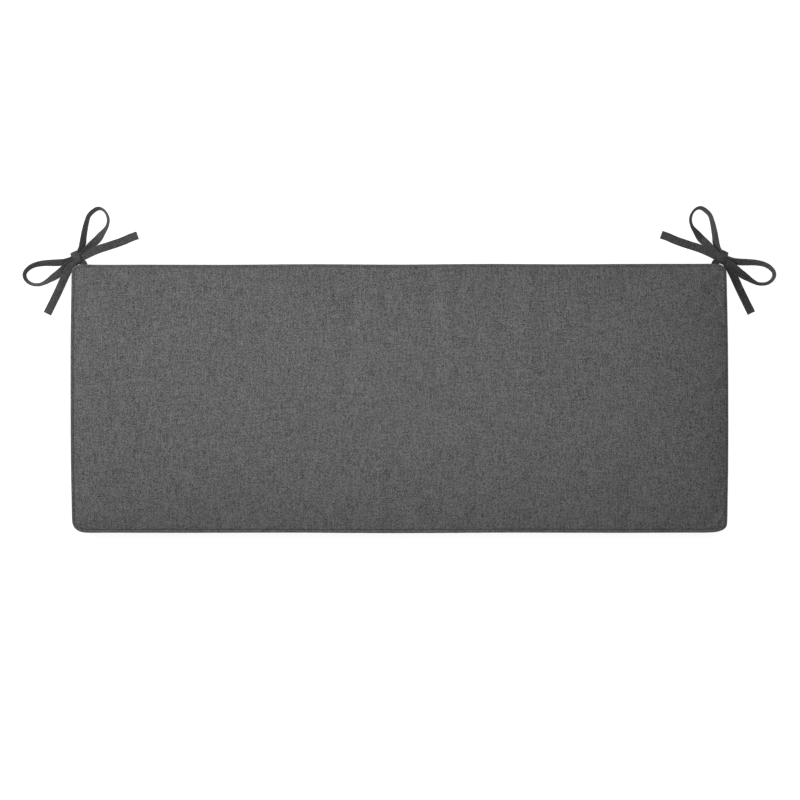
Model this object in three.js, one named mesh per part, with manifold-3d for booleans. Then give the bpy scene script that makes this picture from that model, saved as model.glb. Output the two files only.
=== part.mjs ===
// A boxed garden bench cushion with piped seams, lying face up, with a tie in a bow at each rear corner.
// Millimetres. +X is to the right, +Y to the rear, where the ties are, and +Z up.
// The origin is at the centre of the flat underside.
import * as THREE from "three";
import { mergeVertices } from "three/addons/utils/BufferGeometryUtils.js";
import Module from "manifold-3d";

// Driving dimensions
const WIDTH = 1100; // left to right, over the piping
const DEPTH = 450; // front to rear, over the piping
const PIPING_DIAMETER = 5;
const LOWER_SEAM_HEIGHT = 4.2;
const UPPER_SEAM_HEIGHT = 46;
const SHOULDER_RISE = 3; // how far the panel rolls up from the seam, close to the piping
const SHOULDER_REACH = 7;
const CROWN = 12.5; // the further rise from the shoulder to the middle of the panel
const CROWN_POWERS = { x: 6, y: 2.6 }; // the larger, the flatter the middle and the rounder the edge
const TIE_THICKNESS = 2; // one strip of cloth, folded to four layers
const CLEARANCE = 0.3; // between pieces that touch

const CLOTH_COLOUR = 0x5f5e60;
const PIPING_COLOUR = 0x59585a;
const TIE_COLOUR = 0x4a494b;

// The corners, front left first and then anticlockwise from above.
// along is how far the rounding reaches along the front or rear edge, and up how far along the side edge.
// A power of 2 rounds the corner as an ellipse, and a larger one fills it further out.
const CORNERS = [
  { name: "front left", x: -1, y: -1, along: 24, up: 21, power: 2.2 },
  { name: "front right", x: 1, y: -1, along: 38, up: 17, power: 2.6 },
  { name: "rear right", x: 1, y: 1, along: 16, up: 15, power: 2 },
  { name: "rear left", x: -1, y: 1, along: 12, up: 14, power: 2 },
];
// The edges between them, in the same order. bulge is how far the middle stands out past the ends,
// lean how much further out the second end is than the first, and wander the sewn edge's small waves.
const EDGES = [
  { name: "front", bulge: 0.4, lean: 0, wander: 0.4, waves: 2.5, steps: 24 },
  { name: "right", bulge: 2.6, lean: -1.2, wander: 0.2, waves: 1.5, steps: 10 },
  { name: "rear", bulge: 0, lean: -1.5, wander: 0.45, waves: 3.5, steps: 24 },
  { name: "left", bulge: 2.4, lean: -0.6, wander: 0.2, waves: 1.5, steps: 10 },
];
const CORNER_STEPS = 6;

// The ties. Positions are from the middle of the left knot, so x is to the right and y to the rear.
// low is the height of the strip's lowest edge, roll its turn about its own line, and width its width there:
// at a roll of 0 the strip lies flat, and at 90 it stands on edge with its outer face to the left of its way.
const KNOT_CENTRE = { x: -544.2, y: 236.7 };
const KNOT_TURN = 24; // degrees from +X to the line that the strands leave the knot on
const TIE_COLUMNS = ["x", "y", "low", "roll", "width"];
const REAR_LOOP = [
  [1.5, 5.5, 1.5, -60, 10.5],
  [5.2, 11.4, 1.3, -54, 12],
  [8.1, 16, 1.1, -49, 13.2],
  [9.9, 21, 0.9, -45, 13.8],
  [11.2, 26, 0.8, -41, 14],
  [12.2, 34, 0.6, -47, 14],
  [14.9, 49.4, 0.4, -55, 14],
  [17.8, 61.4, 0.3, -62, 14],
  [21.3, 71.1, 0.2, -66, 14],
  [28, 78.3, 0.2, -66, 14],
  [36.2, 83.2, 0.2, -69, 14],
  [43.5, 82.2, 0.2, -75, 14],
  [49.6, 76.8, 0.2, -77, 14],
  [53.3, 69.3, 0.2, -73, 14],
  [54.2, 62, 0.2, -71, 14],
  [51.7, 52.4, 0.2, -67, 14],
  [45, 42.5, 0.3, -46, 14],
  [34.6, 30.2, 0.6, 4, 13.4],
  [23.6, 20.8, 1, 33, 13.2],
  [12.5, 12, 1.5, 56, 11],
  [5, 5.5, 2, 72, 9.5],
];
const SIDE_LOOP = [
  [-4, -3, 2, 66, 10.5],
  [-12, -8.6, 1.5, 48, 12],
  [-21.8, -18.4, 1, 34, 13.4],
  [-31.5, -27.4, 0.6, 4, 13.2],
  [-44.4, -36.6, 0.3, -46, 14],
  [-52.8, -41.6, 0.2, -60, 14],
  [-59.4, -44.4, 0.2, -68, 14],
  [-67, -45.2, 0.2, -70, 14],
  [-75, -43.9, 0.2, -71, 14],
  [-81.3, -40.2, 0.2, -72, 14],
  [-85.5, -35, 0.2, -71, 14],
  [-87, -30, 0.2, -70, 14],
  [-86.3, -25, 0.2, -69, 14],
  [-82.6, -19.8, 0.2, -66, 14],
  [-77.2, -15.3, 0.2, -63, 14],
  [-71, -12.2, 0.2, -59, 14],
  [-63, -10, 0.3, -54, 14],
  [-54, -8.7, 0.3, -49, 14],
  [-42.6, -8.2, 0.5, -42, 14],
  [-30.5, -7.8, 0.8, -38, 14],
  [-20, -6.4, 1.2, -42, 13.4],
  [-12, -3, 1.6, -52, 12],
  [-5, 1.2, 2, -66, 10],
];
const REAR_TAIL = [
  [0, -3, 5.5, 0, 11],
  [8, 0.5, 5.6, 0, 12.5],
  [15, 4.2, 5, 0, 13.5],
  [24, 8.8, 3.6, 4, 14],
  [38, 14.8, 1.8, 4, 14],
  [56, 20.8, 0.6, 2, 14],
  [77, 28, 0.1, 0, 14],
  [92, 34.4, 0.6, 0, 14],
  [103.2, 38.4, 0.3, 0, 13.8],
];
const FRONT_TAIL = [
  [1, -1, 6, 0, 11],
  [-4.5, -8, 6.4, 0, 12.5],
  [-10.6, -16.6, 6.2, -2, 13.5],
  [-17.2, -28, 3.8, -3, 13.8],
  [-28.8, -53, 1.2, -2, 13.8],
  [-39.6, -75, 0.2, 0, 13.8],
  [-49, -94, 0.1, 0, 14],
];
const SEWN_END = [
  [13.3, -14.5, 7.1, 0, 12],
  [13, -10.5, 6.9, 0, 12],
  [3, -1.5, 4, 0, 11],
];
const RIBBON_STEP = 6;
// The turn of cloth round the strands, in slices along the line that they leave on.
const KNOT_LENGTH = 23; // across the strands
const KNOT_HEIGHT = 11.5;
const KNOT_LIFT = 0.3;
const KNOT_SIDES = 14;
const KNOT_SLICES = [
  { along: -6.8, swell: 0.86 },
  { along: -5.6, swell: 0.98 },
  { along: 0, swell: 1 },
  { along: 5.6, swell: 0.98 },
  { along: 6.8, swell: 0.86 },
];

const HALF_WIDTH = WIDTH / 2;
const HALF_DEPTH = DEPTH / 2;
const PIPING_RADIUS = PIPING_DIAMETER / 2;
const radians = THREE.MathUtils.degToRad;

// A power that keeps the sign, which squares off a circle's sine and cosine.
function bent(value, power) {
  return Math.sign(value) * Math.pow(Math.abs(value), power);
}

// The seam outline

// How far an edge lies outside the straight line, at a share t of its length.
function edgeOffset(edge, t) {
  const bulge = edge.bulge * (4 * t * (1 - t) - 0.5);
  const slant = edge.lean * (t - 0.5);
  return bulge + slant + edge.wander * Math.sin(2 * Math.PI * edge.waves * t) * Math.sin(Math.PI * t);
}

// The outer line of the piping, anticlockwise from above, each point with its outward normal.
function seamOutline() {
  const points = [];
  CORNERS.forEach((corner, i) => {
    const before = EDGES[(i + 3) % 4];
    const after = EDGES[i];
    const next = CORNERS[(i + 1) % 4];
    const alongX = corner.y === next.y; // the edge after this corner runs along X
    const outX = edgeOffset(alongX ? before : after, alongX ? 1 : 0);
    const outY = edgeOffset(alongX ? after : before, alongX ? 0 : 1);
    const centreX = corner.x * (HALF_WIDTH + outX - corner.along);
    const centreY = corner.y * (HALF_DEPTH + outY - corner.up);
    const start = Math.atan2(corner.y, corner.x) - Math.PI / 4;
    for (let k = 0; k <= CORNER_STEPS; k++) {
      const angle = start + (k / CORNER_STEPS) * (Math.PI / 2);
      points.push({
        x: centreX + corner.along * bent(Math.cos(angle), 2 / corner.power),
        y: centreY + corner.up * bent(Math.sin(angle), 2 / corner.power),
      });
    }
    const from = alongX ? points.at(-1).x : points.at(-1).y;
    const to = alongX
      ? next.x * (HALF_WIDTH - next.along)
      : next.y * (HALF_DEPTH - next.up);
    for (let k = 1; k < after.steps; k++) {
      const t = k / after.steps;
      const place = from + (to - from) * t;
      if (alongX) points.push({ x: place, y: corner.y * (HALF_DEPTH + edgeOffset(after, t)) });
      else points.push({ x: corner.x * (HALF_WIDTH + edgeOffset(after, t)), y: place });
    }
  });
  return points.map((p, i) => {
    const last = points.at(i - 1);
    const next = points[(i + 1) % points.length];
    const normal = new THREE.Vector2(next.y - last.y, last.x - next.x).normalize();
    return { ...p, nx: normal.x, ny: normal.y };
  });
}

// Skins

// A closed surface over a stack of rings of equal length. A looped stack joins its last ring to its first,
// and any other is closed with a fan at each end.
function skin(rings, looped = false) {
  const count = rings[0].length;
  const points = rings.flat();
  const index = [];
  const joins = looped ? rings.length : rings.length - 1;
  for (let r = 0; r < joins; r++) {
    const next = (r + 1) % rings.length;
    for (let i = 0; i < count; i++) {
      const j = (i + 1) % count;
      const [a, b, c, d] = [r * count + i, r * count + j, next * count + j, next * count + i];
      index.push(a, b, c, a, c, d);
    }
  }
  if (!looped) {
    for (const [r, turned] of [[0, true], [rings.length - 1, false]]) {
      const middle = new THREE.Vector3();
      rings[r].forEach((p) => middle.add(p));
      points.push(middle.divideScalar(count));
      for (let i = 0; i < count; i++) {
        const [a, b] = [r * count + i, r * count + ((i + 1) % count)];
        if (turned) index.push(points.length - 1, b, a);
        else index.push(points.length - 1, a, b);
      }
    }
  }
  const geometry = new THREE.BufferGeometry().setFromPoints(points);
  geometry.setIndex(index);
  geometry.computeVertexNormals();
  return geometry;
}

// The filled cushion

// Points of the hollow that a seam's piping sits in, from its lower end to its upper end.
function seamHollow(height, from, to, steps) {
  const halfStep = radians((to - from) / steps / 2);
  const radius = (PIPING_RADIUS + CLEARANCE) / Math.cos(halfStep); // so that the flats clear the piping too
  return Array.from({ length: steps + 1 }, (_, k) => {
    const angle = radians(from + ((to - from) * k) / steps);
    return { inset: PIPING_RADIUS + radius * Math.cos(angle), height: height + radius * Math.sin(angle) };
  });
}

// The height of the upper panel at a place a given distance inside the outline.
function panelHeight(x, y, inset) {
  const seamTop = UPPER_SEAM_HEIGHT + PIPING_RADIUS;
  const shoulder = SHOULDER_RISE * (1 - Math.exp(-(inset - PIPING_RADIUS) / SHOULDER_REACH));
  const acrossX = 1 - Math.pow(Math.min(1, Math.abs(x) / HALF_WIDTH), CROWN_POWERS.x);
  const acrossY = 1 - Math.pow(Math.min(1, Math.abs(y) / HALF_DEPTH), CROWN_POWERS.y);
  return seamTop - 0.6 + shoulder + CROWN * acrossX * acrossY;
}

// A ring of the outline, moved in by inset. Past the seam the rings shrink towards the middle instead.
function insetRing(outline, inset, heightAt) {
  const seam = PIPING_DIAMETER + CLEARANCE;
  const square = Math.min(inset, seam);
  const shrinkX = 1 - (inset - square) / (HALF_WIDTH - seam);
  const shrinkY = 1 - (inset - square) / (HALF_DEPTH - seam);
  return outline.map((p) => {
    const x = (p.x - p.nx * square) * shrinkX;
    const y = (p.y - p.ny * square) * shrinkY;
    return new THREE.Vector3(x, y, heightAt(x, y));
  });
}

function cushionGeometry(outline) {
  const underside = [190, 60, 16];
  const curl = [{ inset: 9, height: 0.5 }, { inset: 6, height: 1.2 }];
  const boxing = [
    { inset: 2.9, height: 9 },
    { inset: 2.1, height: 16 },
    { inset: 1.7, height: 25 },
    { inset: 2.1, height: 34 },
    { inset: 2.9, height: 41 },
  ];
  const panel = [6.2, 8.5, 12, 18, 30, 50, 80, 120, 165, 200];
  const sides = [
    ...curl,
    ...seamHollow(LOWER_SEAM_HEIGHT, -50, 70, 4),
    ...boxing,
    ...seamHollow(UPPER_SEAM_HEIGHT, -70, 50, 4),
  ];
  return skin([
    ...underside.map((inset) => insetRing(outline, inset, () => 0)),
    ...sides.map((row) => insetRing(outline, row.inset, () => row.height)),
    ...panel.map((inset) => insetRing(outline, inset, (x, y) => panelHeight(x, y, inset))),
  ]);
}

// The piping

function pipingGeometry(outline, height) {
  const sides = 8;
  const sections = outline.map((p) =>
    Array.from({ length: sides }, (_, k) => {
      const angle = (2 * Math.PI * k) / sides;
      const out = PIPING_RADIUS * (Math.cos(angle) - 1);
      return new THREE.Vector3(p.x + p.nx * out, p.y + p.ny * out, height - PIPING_RADIUS * Math.sin(angle));
    }),
  );
  return skin(sections, true);
}

// The ties

// A flat strip of cloth along a table of places. Its section has blunt folded edges.
function ribbonGeometry(table) {
  const rows = table.map((row) => Object.fromEntries(TIE_COLUMNS.map((name, k) => [name, row[k]])));
  const half = TIE_THICKNESS / 2;
  const centres = rows.map((row) => {
    const roll = radians(Math.abs(row.roll));
    const rise = (row.width / 2) * Math.sin(roll) + half * Math.cos(roll);
    return new THREE.Vector3(row.x, row.y, row.low + rise);
  });
  const path = new THREE.CatmullRomCurve3(centres, false, "centripetal");
  const turns = new THREE.SplineCurve(rows.map((row) => new THREE.Vector2(row.roll, row.width)));
  const steps = Math.max(4, Math.round(path.getLength() / RIBBON_STEP));
  const up = new THREE.Vector3(0, 0, 1);
  const sections = [];
  for (let k = 0; k <= steps; k++) {
    const t = path.getUtoTmapping(k / steps);
    const middle = path.getPoint(t);
    const ahead = path.getTangent(t);
    const left = new THREE.Vector3().crossVectors(up, ahead).normalize();
    const rise = new THREE.Vector3().crossVectors(ahead, left);
    const { x: roll, y: width } = turns.getPoint(t);
    const across = left.clone().multiplyScalar(Math.cos(radians(roll)));
    across.addScaledVector(rise, -Math.sin(radians(roll)));
    const face = left.clone().multiplyScalar(Math.sin(radians(roll)));
    face.addScaledVector(rise, Math.cos(radians(roll)));
    const edge = width / 2;
    const outline = [[edge, -0.4], [edge, 0.4], [edge - 1, 1], [1 - edge, 1], [-edge, 0.4], [-edge, -0.4],
      [1 - edge, -1], [edge - 1, -1]];
    sections.push(
      outline.map(([a, b]) => middle.clone().addScaledVector(across, a).addScaledVector(face, b * half)),
    );
  }
  return skin(sections);
}

// The band of the knot, wrapped round the strands and pulled tight.
function knotGeometry() {
  const turn = radians(KNOT_TURN);
  const along = new THREE.Vector3(Math.cos(turn), Math.sin(turn), 0);
  const across = new THREE.Vector3(-Math.sin(turn), Math.cos(turn), 0);
  const slices = KNOT_SLICES.map((slice) =>
    Array.from({ length: KNOT_SIDES }, (_, k) => {
      const angle = (2 * Math.PI * k) / KNOT_SIDES;
      const p = along.clone().multiplyScalar(slice.along);
      p.addScaledVector(across, (KNOT_LENGTH / 2) * slice.swell * bent(Math.cos(angle), 0.75));
      p.z = KNOT_LIFT + (KNOT_HEIGHT / 2) * (1 + slice.swell * bent(Math.sin(angle), 0.75));
      return p;
    }),
  );
  return skin(slices);
}

// Joining

const wasm = await Module();
wasm.setup();

function solid(geometry) {
  const bare = new THREE.BufferGeometry().setAttribute("position", geometry.getAttribute("position"));
  bare.setIndex(geometry.getIndex());
  const merged = mergeVertices(bare, 1e-3);
  const vertProperties = merged.attributes.position.array;
  const made = new wasm.Manifold(
    new wasm.Mesh({ numProp: 3, vertProperties, triVerts: new Uint32Array(merged.index.array) }),
  );
  if (made.volume() < 0) throw new Error("a piece is inside out");
  return made;
}

function joined(geometries) {
  const all = geometries.map(solid).reduce((sum, next) => sum.add(next));
  const mesh = all.getMesh();
  const geometry = new THREE.BufferGeometry();
  geometry.setAttribute("position", new THREE.BufferAttribute(mesh.vertProperties, 3));
  geometry.setIndex(new THREE.BufferAttribute(mesh.triVerts, 1));
  geometry.computeVertexNormals();
  return geometry;
}

function tieGeometry() {
  const strips = [REAR_LOOP, SIDE_LOOP, REAR_TAIL, FRONT_TAIL, SEWN_END].map(ribbonGeometry);
  const bow = joined([knotGeometry(), ...strips]);
  return bow.translate(KNOT_CENTRE.x, KNOT_CENTRE.y, 0);
}

// The whole cushion

const cloth = new THREE.MeshStandardMaterial({ color: CLOTH_COLOUR, roughness: 0.92, metalness: 0 });
const piping = new THREE.MeshStandardMaterial({ color: PIPING_COLOUR, roughness: 0.92, metalness: 0 });
const tie = new THREE.MeshStandardMaterial({ color: TIE_COLOUR, roughness: 0.92, metalness: 0 });

function piece(name, geometry, material) {
  const mesh = new THREE.Mesh(geometry, material);
  mesh.name = name;
  return mesh;
}

const outline = seamOutline();
const bow = tieGeometry();
const rightTie = piece("tie_right", bow, tie);
rightTie.scale.x = -1; // the mirror image of the left one
rightTie.position.y = 1.05; // the sewn edge lies that much further back here

const group = new THREE.Group();
group.name = "bench_cushion";
group.add(
  piece("cushion", cushionGeometry(outline), cloth),
  piece("piping_upper", pipingGeometry(outline, UPPER_SEAM_HEIGHT), piping),
  piece("piping_lower", pipingGeometry(outline, LOWER_SEAM_HEIGHT), piping),
  piece("tie_left", bow, tie),
  rightTie,
);

export default group;
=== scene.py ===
# %% [markdown]
# # A piped bench cushion with bow ties
#
# The object is a garden bench cushion: a foam pad in a charcoal cover, corded round both faces, with a
# flat strip tied in a bow at each rear corner. It lies on its back and the camera looks straight down.
# The packed model gives every piece its place, so the lesson starts by loading it and reading its sizes.

# %% Load the packed model
import bisect
import functools
import math

import bmesh
import bpy
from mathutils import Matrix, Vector, kdtree, noise


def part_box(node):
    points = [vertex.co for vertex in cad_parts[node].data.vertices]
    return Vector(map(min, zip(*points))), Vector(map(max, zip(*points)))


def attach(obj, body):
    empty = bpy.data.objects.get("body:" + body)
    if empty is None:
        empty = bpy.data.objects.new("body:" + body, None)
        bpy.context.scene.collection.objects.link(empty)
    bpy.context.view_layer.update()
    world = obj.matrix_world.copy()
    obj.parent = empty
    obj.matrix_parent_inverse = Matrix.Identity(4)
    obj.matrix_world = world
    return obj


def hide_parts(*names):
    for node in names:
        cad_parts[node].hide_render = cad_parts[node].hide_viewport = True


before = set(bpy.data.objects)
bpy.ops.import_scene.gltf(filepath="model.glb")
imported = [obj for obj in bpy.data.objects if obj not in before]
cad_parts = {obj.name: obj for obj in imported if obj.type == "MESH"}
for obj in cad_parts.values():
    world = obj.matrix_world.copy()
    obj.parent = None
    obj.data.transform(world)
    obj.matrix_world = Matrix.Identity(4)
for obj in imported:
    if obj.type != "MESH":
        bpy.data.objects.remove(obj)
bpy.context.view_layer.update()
MM = 0.001
print("nodes:", ", ".join(sorted(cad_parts)))

# %% [markdown]
# ## The camera
#
# The photo is taken from straight above and shows none of the boxing, so its lens was a long one, far away.
# An orthographic camera would show nearly the same, but a real lens keeps the slight perspective. Its height
# is chosen, and its focal length is worked out from the size of one of the photo's pixels on the piping.

# %% Camera
CAMERA_HEIGHT = 8.0  # above the upper piping
SEAM_HEIGHT = 46 * MM
PHOTO_SCALE = 1.6755 * MM  # of one pixel, at the upper piping
PHOTO_SIZE = 800
PHOTO_CENTRE = Vector((1.05, -2.5)) * MM

camera = bpy.data.objects.new("camera", bpy.data.cameras.new("camera"))
bpy.context.scene.collection.objects.link(camera)
camera.location = (*PHOTO_CENTRE, SEAM_HEIGHT + CAMERA_HEIGHT)
camera.data.sensor_width = 36
camera.data.lens = camera.data.sensor_width * CAMERA_HEIGHT / (PHOTO_SCALE * PHOTO_SIZE)
camera.data.clip_end = 100
bpy.context.scene.camera = camera
print("lens in mm:", round(camera.data.lens, 1))

# %% [markdown]
# ## The floor and the room
#
# The ground round the cushion is white. A studio gets that by lighting the paper much more than the dark
# object on it. Lamps could do so here too, but their light would bounce up at the bows, so the floor glows
# instead, and for the camera alone. The room is an even white that casts only a dim light.

# %% Floor and room
ROOM_LIGHT = 0.205
FLOOR_GLOW = 0.9  # seen by the camera alone, so that it doesn't light the bows from below
FLOOR_HALF = 30


def principled(name, **values):
    """A new material and its Principled BSDF, with plain values set on it."""
    material = bpy.data.materials.new(name)
    material.use_nodes = True
    shader = material.node_tree.nodes["Principled BSDF"]
    for socket, value in values.items():
        shader.inputs[socket.replace("_", " ")].default_value = value
    return material, shader


floor_mesh = bmesh.new()
bmesh.ops.create_grid(floor_mesh, x_segments=1, y_segments=1, size=FLOOR_HALF)
floor = bpy.data.objects.new("floor", bpy.data.meshes.new("floor"))
floor_mesh.to_mesh(floor.data)
floor_mesh.free()
bpy.context.scene.collection.objects.link(floor)
floor_finish, floor_shader = principled(
    "white floor",
    Base_Color=(0.5, 0.5, 0.5, 1),
    Roughness=0.8,
    Emission_Color=(1, 1, 1, 1),
)
floor.data.materials.append(floor_finish)

room = bpy.data.worlds.new("room")
room.use_nodes = True
bpy.context.scene.world = room
room.node_tree.nodes["Background"].inputs["Color"].default_value = (1, 1, 1, 1)


def to_camera(tree, socket, unseen, seen):
    """Gives a strength one value for the camera's own view and another for the light that it casts."""
    ray = tree.nodes.new("ShaderNodeLightPath")
    strength = tree.nodes.new("ShaderNodeMapRange")
    strength.inputs["To Min"].default_value = unseen
    strength.inputs["To Max"].default_value = seen
    tree.links.new(ray.outputs["Is Camera Ray"], strength.inputs["Value"])
    tree.links.new(strength.outputs["Result"], socket)


to_camera(floor_finish.node_tree, floor_shader.inputs["Emission Strength"], 0, FLOOR_GLOW)
to_camera(room.node_tree, room.node_tree.nodes["Background"].inputs["Strength"], ROOM_LIGHT, 1)
bpy.context.scene.view_settings.view_transform = "Standard"
print("floor width in m:", 2 * FLOOR_HALF, "glow:", FLOOR_GLOW)

# %% [markdown]
# ## The lamps
#
# The face is a little brighter to the left and the rear, and its folds and weave show softly. One lamp from
# the side could give that, but would light the loops of the bows from the wrong side. So most of the light
# comes from a wide strip close above the face, and a smaller box at the left rear brings out the folds.

# %% Two soft lamps
LAMPS = [  # name, place, aim, width, depth, power
    ("overhead strip", (0.03, 0.1, 0.74), (0.03, 0.03, 0.0), 1.28, 0.38, 4.2),
    ("side box", (-1.6, 0.65, 1.0), (0.0, 0.0, 0.0), 0.5, 0.5, 15.0),
]
for name, place, aim, width, depth, power in LAMPS:
    lamp = bpy.data.objects.new(name, bpy.data.lights.new(name, "AREA"))
    lamp.data.shape = "RECTANGLE"
    lamp.data.size, lamp.data.size_y = width, depth
    lamp.data.energy = power
    lamp.location = place
    lamp.rotation_euler = (Vector(aim) - Vector(place)).to_track_quat("-Z", "Y").to_euler()
    lamp.visible_camera = False
    bpy.context.scene.collection.objects.link(lamp)
print("lamps:", len(LAMPS))

# %% [markdown]
# ## The sewn outline
#
# Everything on a boxed cushion follows one line: the seam round its face. The packed piping already has
# that line, waves and all, so it is read from there instead of being worked out again. Its outer ring of
# vertices lies level at half its height, and is walked from edge to edge.

# %% Read the outline from the upper piping
PIPING_RADIUS = 2.5 * MM
SAME_PLACE = 1e-6  # points closer than this are one
LEVEL = 1e-5  # points within this of a height lie at it


def merged(node):
    """The node's mesh as a bmesh, with its loose triangles joined."""
    mesh = bmesh.new()
    mesh.from_mesh(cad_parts[node].data)
    bmesh.ops.remove_doubles(mesh, verts=mesh.verts, dist=SAME_PLACE)
    mesh.verts.index_update()
    return mesh


def outer_ring(node, height):
    """The longest closed ring of edges that lies level at a height, as a list of points."""
    mesh = merged(node)
    level = {v.index: v for v in mesh.verts if abs(v.co.z - height) < LEVEL}
    rings = []
    while level:
        vert = level.pop(min(level))
        ring = [vert.co.copy()]
        while vert:
            beside = sorted(edge.other_vert(vert).index for edge in vert.link_edges)
            vert = next((level.pop(i) for i in beside if i in level), None)
            if vert:
                ring.append(vert.co.copy())
        rings.append(ring)
    mesh.free()
    return max(rings, key=lambda ring: sum((a - b).length for a, b in zip(ring, ring[1:] + ring[:1])))


upper_low, upper_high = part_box("piping_upper")
lower_low, lower_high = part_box("piping_lower")
UPPER_SEAM = (upper_low.z + upper_high.z) / 2
LOWER_SEAM = (lower_low.z + lower_high.z) / 2
seam_ring = outer_ring("piping_upper", UPPER_SEAM)
print("points round the piping:", len(seam_ring), "at heights", UPPER_SEAM / MM, LOWER_SEAM / MM)

# %% [markdown]
# ## A smooth line
#
# Cloth has no corners where the ring of vertices has them, and the loops of the bows are given as a few
# points too. So both need a curve through points. A Bezier curve object would do, but then its handles need
# a rule as well; here each stretch between two points is worked out from the two beside it.

# %% A smooth line through points
def smooth_line(rows, gaps, closed=False):
    """A smooth line through rows of numbers that start with a place, as points between each two of them.
    Its pace follows the root of the distances, so that close points next to far ones make no loops."""
    count = len(rows)
    line = []
    for i in range(count if closed else count - 1):
        around = range(i - 1, i + 3)
        p = [rows[k % count] if closed else rows[min(max(k, 0), count - 1)] for k in around]
        gap = [max(1e-9, math.sqrt((b - a).to_2d().length)) for a, b in zip(p, p[1:])]
        if not closed:
            gap[0] = gap[0] if i else gap[1]
            gap[2] = gap[2] if i < count - 2 else gap[1]
        leave = p[2] - p[1] + gap[1] * ((p[1] - p[0]) / gap[0] - (p[2] - p[0]) / (gap[0] + gap[1]))
        arrive = p[2] - p[1] + gap[1] * ((p[3] - p[2]) / gap[2] - (p[3] - p[1]) / (gap[1] + gap[2]))
        for k in range(gaps):
            t = k / gaps
            line.append(
                (2 * t**3 - 3 * t * t + 1) * p[1] + (t**3 - 2 * t * t + t) * leave
                + (3 * t * t - 2 * t**3) * p[2] + (t**3 - t * t) * arrive
            )
    return line if closed else [*line, rows[-1]]


print("a test line's points:", len(smooth_line([Vector((x, x * x)) for x in range(4)], 5)))

# %% [markdown]
# ## The seam, by length
#
# A maker finds a place on a seam with a tape: so far along it, and so far in. The seam is an object that
# answers in the same way: it gives a point and an outward direction for any length along it, and the nearest
# length for any point, from a search tree, which is much quicker than looking at every point.

# %% The seam as a measured line
class Seam:
    """The outer line of the piping from above, anticlockwise, as a smooth closed curve."""

    FINE = 8  # short steps between two of the ring's points
    STRAIGHT_INSET = 4 * MM  # up to here, a move inward is square to the seam
    REACH = 0.9  # how far beyond, for each length moved, the direction is averaged

    def __init__(self, ring):
        area = sum(a.x * b.y - b.x * a.y for a, b in zip(ring, ring[1:] + ring[:1]))
        ring = ring if area > 0 else ring[::-1]
        self.points = smooth_line([p.xy for p in ring], self.FINE, closed=True)
        around = self.points[1:] + self.points[:1]
        self.starts = [0.0]
        self.outward = []
        for before, point, after in zip(self.points[-1:] + self.points[:-1], self.points, around):
            self.starts.append(self.starts[-1] + (after - point).length)
            self.outward.append(Vector((after.y - before.y, before.x - after.x)).normalized())
        self.length = self.starts[-1]
        self.tree = kdtree.KDTree(len(self.points))
        for i, point in enumerate(self.points):
            self.tree.insert((*point, 0), i)
        self.tree.balance()

    def at(self, along):
        """The point at a length along the seam, and the outward direction there."""
        along %= self.length
        i = min(bisect.bisect_right(self.starts, along) - 1, len(self.points) - 1)
        k = (i + 1) % len(self.points)
        share = (along - self.starts[i]) / max(1e-9, self.starts[i + 1] - self.starts[i])
        outward = self.outward[i].lerp(self.outward[k], share).normalized()
        return self.points[i].lerp(self.points[k], share), outward

    def place(self, along, inset, height):
        """The point at a length along the seam, moved in from it, at a height. The direction is an average
        over a stretch of the seam, so that lines deep inside turn the corners without crossing."""
        point, out = self.at(along)
        reach = self.REACH * max(0, inset - self.STRAIGHT_INSET)
        if reach:
            out = (self.at(along - reach)[1] + out + self.at(along + reach)[1]).normalized()
        return Vector((*(point - inset * out), height))

    def corner(self, x, y):
        """The length along the seam at which it turns the corner that lies towards (x, y)."""
        best = max(range(len(self.points)), key=lambda i: x * self.points[i].x + y * self.points[i].y)
        return self.starts[best]

    def inset(self, point):
        """How far a point lies inside the seam."""
        return self.tree.find((point.x, point.y, 0))[2]

    def along(self, point):
        """The length along the seam at which a point lies."""
        return self.starts[self.tree.find((point.x, point.y, 0))[1]]


seam = Seam(seam_ring)
print("seam length in mm:", round(seam.length / MM))

# %% [markdown]
# ## The cloth
#
# The cover, piping and ties are one cloth, and its finish is made from nodes. Written out, each node and each
# link would be a line, and the pattern would be hard to see among them. So a small helper adds nodes and
# joins them, and a pattern then reads as a formula.

# %% Nodes as formulas
class Wires:
    """Adds nodes to a node tree and joins them, so that a pattern reads as a formula."""

    def __init__(self, tree):
        self.tree = tree

    def feed(self, node, values):
        for socket, value in values.items():
            if isinstance(value, bpy.types.NodeSocket):
                self.tree.links.new(value, node.inputs[socket])
            else:
                node.inputs[socket].default_value = value

    def node(self, kind, values=(), **settings):
        made = self.tree.nodes.new(kind)
        for name, value in settings.items():
            setattr(made, name, value)
        self.feed(made, dict(values))
        return made

    def maths(self, operation, *values):
        return self.node("ShaderNodeMath", enumerate(values), operation=operation).outputs[0]

    def joined(self, x, y, z=0.0):
        return self.node("ShaderNodeCombineXYZ", {"X": x, "Y": y, "Z": z}).outputs[0]

    def speckle(self, vector, scale=1.0, detail=0.0):
        values = {"Vector": vector, "Scale": scale, "Detail": detail}
        return self.node("ShaderNodeTexNoise", values).outputs["Fac"]

    def spread(self, value, low, high, to_low=0.0, to_high=1.0):
        values = {"Value": value, "From Min": low, "From Max": high, "To Min": to_low, "To Max": to_high}
        return self.node("ShaderNodeMapRange", values).outputs["Result"]

    def blend(self, share, a, b):
        return self.node("ShaderNodeMix", {0: share, 6: a, 7: b}, data_type="RGBA").outputs[2]


print("node helpers:", ", ".join(name for name in vars(Wires) if not name.startswith("_")))

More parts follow.
